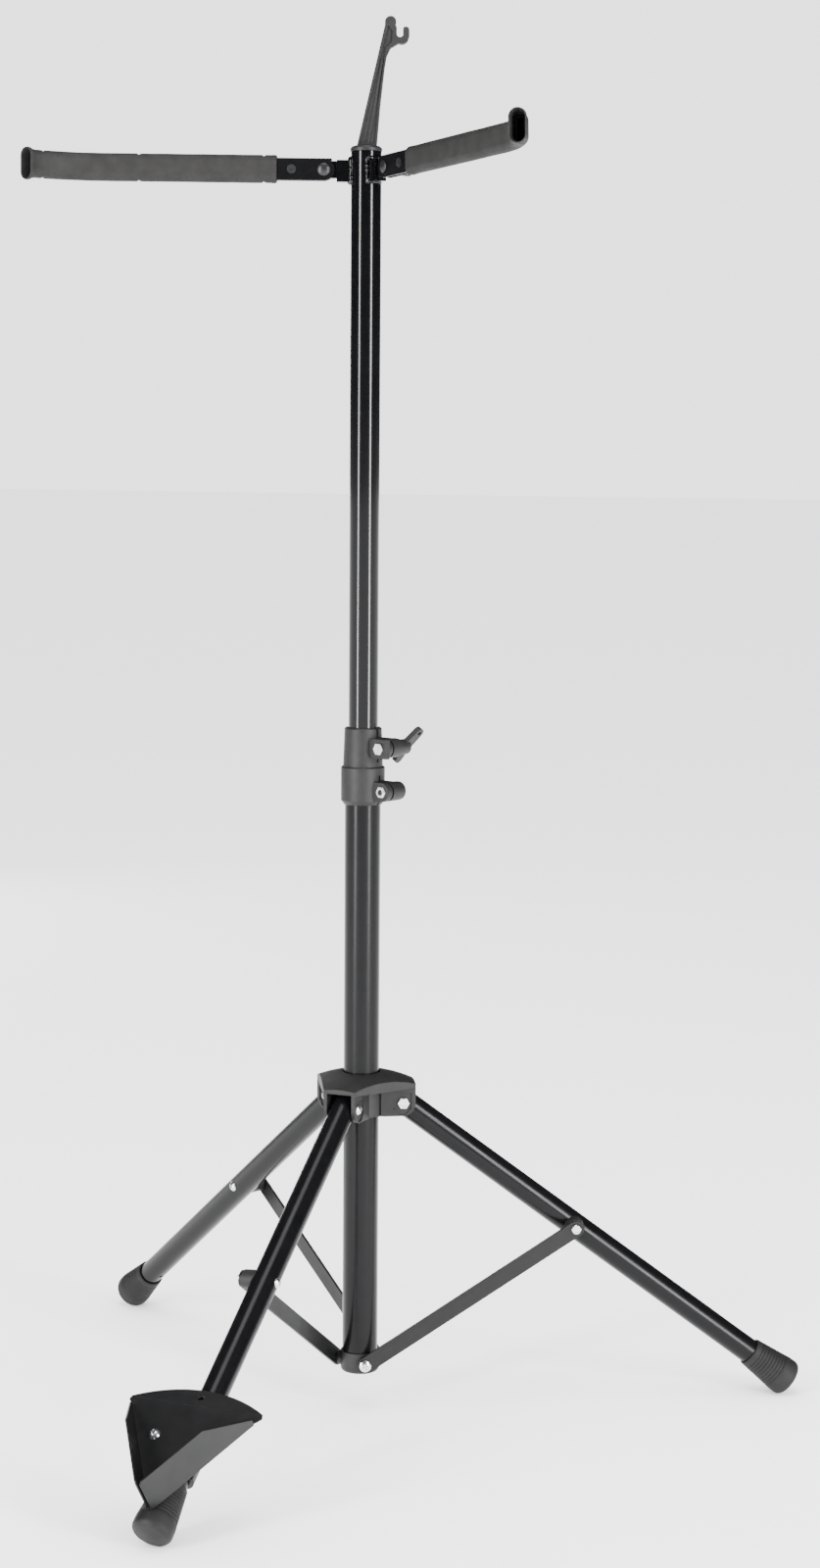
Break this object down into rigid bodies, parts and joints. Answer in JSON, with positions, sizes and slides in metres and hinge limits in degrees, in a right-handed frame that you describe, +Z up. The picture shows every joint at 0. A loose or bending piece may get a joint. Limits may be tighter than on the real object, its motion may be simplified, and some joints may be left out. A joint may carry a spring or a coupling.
{
  "type": "tripod stand",
  "caption": "Folding tripod floor stand with a telescoping mast, sliding leg crown and strap braces, padded yoke arms, a top hook and a heel plate on one leg.",
  "frame": {"origin": "on the floor under the mast's axis, legs spread", "axes": "+Z up along the mast; the front leg, which carries the heel plate, points along -Y"},
  "size_m": [0.7836, 0.6966, 1.3618],
  "materials": {
    "satin_black_tube": "satin powder coat",
    "gloss_black_tube": "gloss paint",
    "black_steel_plate": "fine-textured powder coat",
    "matte_plastic": "moulded, fine grain",
    "pad_rubber": "matte sleeve",
    "foot_rubber": "matte moulded",
    "zinc": "bright zinc plate",
    "black_screw": "black oxide"
  },
  "bodies": {
    "mast": {"outer_tube": "satin_black_tube", "base_cap": "matte_plastic", "base_screws": "zinc", "height_collar": "matte_plastic", "collar_liner": "matte_plastic", "collar_bolt": "zinc", "collar_screw": "matte_plastic", "collar_nut": "zinc"},
    "wing_knob": {"wing_knob": "matte_plastic"},
    "slider": {"guide_bush": "matte_plastic"},
    "upper": {"upper_tube": "gloss_black_tube", "arm_stub_left": "gloss_black_tube", "arm_stub_right": "gloss_black_tube", "weld_beads": "gloss_black_tube", "pivot_bolt_left": "black_screw", "pivot_bolt_right": "black_screw"},
    "hook": {"hook_post": "matte_plastic"},
    "crown": {"leg_crown": "matte_plastic", "crown_bolts": "zinc", "crown_nuts": "zinc"},
    "heel": {"heel_plate": "black_steel_plate", "seat_block": "matte_plastic", "saddle_clamp": "black_steel_plate", "heel_bolts": "zinc", "heel_nuts": "zinc"},
    "arm_left": {"arm_bar_left": "satin_black_tube", "arm_pad_left": "pad_rubber", "arm_screw_left": "black_screw"},
    "lever_left": {"lock_lever_left": "matte_plastic"},
    "arm_right": {"arm_bar_right": "satin_black_tube", "arm_pad_right": "pad_rubber", "arm_screw_right": "black_screw"},
    "lever_right": {"lock_lever_right": "matte_plastic"},
    "leg_front": {"leg_front": "satin_black_tube", "foot_front": "foot_rubber", "brace_bolt_front": "zinc", "brace_spacer_front": "matte_plastic", "brace_nut_front": "zinc"},
    "brace_front": {"brace_front": "black_steel_plate"},
    "leg_right": {"leg_right": "satin_black_tube", "foot_right": "foot_rubber", "brace_bolt_right": "zinc", "brace_spacer_right": "matte_plastic", "brace_nut_right": "zinc"},
    "brace_right": {"brace_right": "black_steel_plate"},
    "leg_left": {"leg_left": "satin_black_tube", "foot_left": "foot_rubber", "brace_bolt_left": "zinc", "brace_spacer_left": "matte_plastic", "brace_nut_left": "zinc"},
    "brace_left": {"brace_left": "black_steel_plate"}
  },
  "joints": [
    {"name": "leg_fold", "type": "hinge", "parent": "mast", "child": "brace_front", "pos_m": [0, -0.003, 0.0469], "axis": [-1, 0, 0], "range_deg": [0, 42.9]},
    {"name": "front_leg_turn", "type": "hinge", "parent": "brace_front", "child": "leg_front", "pos_m": [0, -0.21354, 0.18125], "axis": [-1, 0, 0], "range_deg": [-89.28, 0]},
    {"name": "crown_turn", "type": "hinge", "parent": "leg_front", "child": "crown", "pos_m": [0, -0.0404, 0.3104], "axis": [-1, 0, 0], "range_deg": [0, 46.38]},
    {"name": "right_leg_turn", "type": "hinge", "parent": "crown", "child": "leg_right", "pos_m": [0.03499, 0.0202, 0.3104], "axis": [0.5, -0.866, 0], "range_deg": [-46.38, 0]},
    {"name": "right_brace_turn", "type": "hinge", "parent": "leg_right", "child": "brace_right", "pos_m": [0.18493, 0.10677, 0.18125], "axis": [0.5, -0.866, 0], "range_deg": [0, 89.28]},
    {"name": "left_leg_turn", "type": "hinge", "parent": "crown", "child": "leg_left", "pos_m": [-0.03499, 0.0202, 0.3104], "axis": [0.5, 0.866, 0], "range_deg": [-46.38, 0]},
    {"name": "left_brace_turn", "type": "hinge", "parent": "leg_left", "child": "brace_left", "pos_m": [-0.18493, 0.10677, 0.18125], "axis": [0.5, 0.866, 0], "range_deg": [0, 89.28]},
    {"name": "height_slide", "type": "slide", "parent": "mast", "child": "slider", "axis": [0, 0, 1], "range_m": [-0.42, 0]},
    {"name": "yoke_turn", "type": "hinge", "parent": "slider", "child": "upper", "pos_m": [0, 0, 0.535], "axis": [0, 0, 1], "range_deg": [-180, 180]},
    {"name": "hook_swivel", "type": "hinge", "parent": "upper", "child": "hook", "pos_m": [0, 0, 1.2347], "axis": [0, 0, 1], "range_deg": [-180, 180]},
    {"name": "wing_knob_turn", "type": "hinge", "parent": "mast", "child": "wing_knob", "pos_m": [0.03446, 0.0106, 0.663], "axis": [0.2857, 0.9583, 0], "range_deg": [-180, 180]},
    {"name": "heel_slide", "type": "slide", "parent": "leg_front", "child": "heel", "axis": [0, -0.8016, -0.5979], "range_m": [-0.08, 0]},
    {"name": "arm_left_fold", "type": "hinge", "parent": "upper", "child": "arm_left", "pos_m": [-0.03744, -0.01543, 1.2177], "axis": [0.3811, -0.9245, 0], "range_deg": [0, 90]},
    {"name": "lock_lever_left_turn", "type": "hinge", "parent": "upper", "child": "lever_left", "pos_m": [-0.03744, -0.01543, 1.2177], "axis": [0.3811, -0.9245, 0], "range_deg": [0, 80]},
    {"name": "arm_right_fold", "type": "hinge", "parent": "upper", "child": "arm_right", "pos_m": [0.0326, -0.02403, 1.2177], "axis": [0.5934, 0.8049, 0], "range_deg": [0, 90]},
    {"name": "lock_lever_right_turn", "type": "hinge", "parent": "upper", "child": "lever_right", "pos_m": [0.0326, -0.02403, 1.2177], "axis": [0.5934, 0.8049, 0], "range_deg": [-17, 60]}
  ],
  "couplings": [
    {"joint": "front_leg_turn", "follows": "leg_fold", "ratio": -2.0787},
    {"joint": "crown_turn", "follows": "leg_fold", "ratio": 1.0787},
    {"joint": "right_leg_turn", "follows": "leg_fold", "ratio": -1.0787},
    {"joint": "right_brace_turn", "follows": "leg_fold", "ratio": 2.0787},
    {"joint": "left_leg_turn", "follows": "leg_fold", "ratio": -1.0787},
    {"joint": "left_brace_turn", "follows": "leg_fold", "ratio": 2.0787}
  ]
}
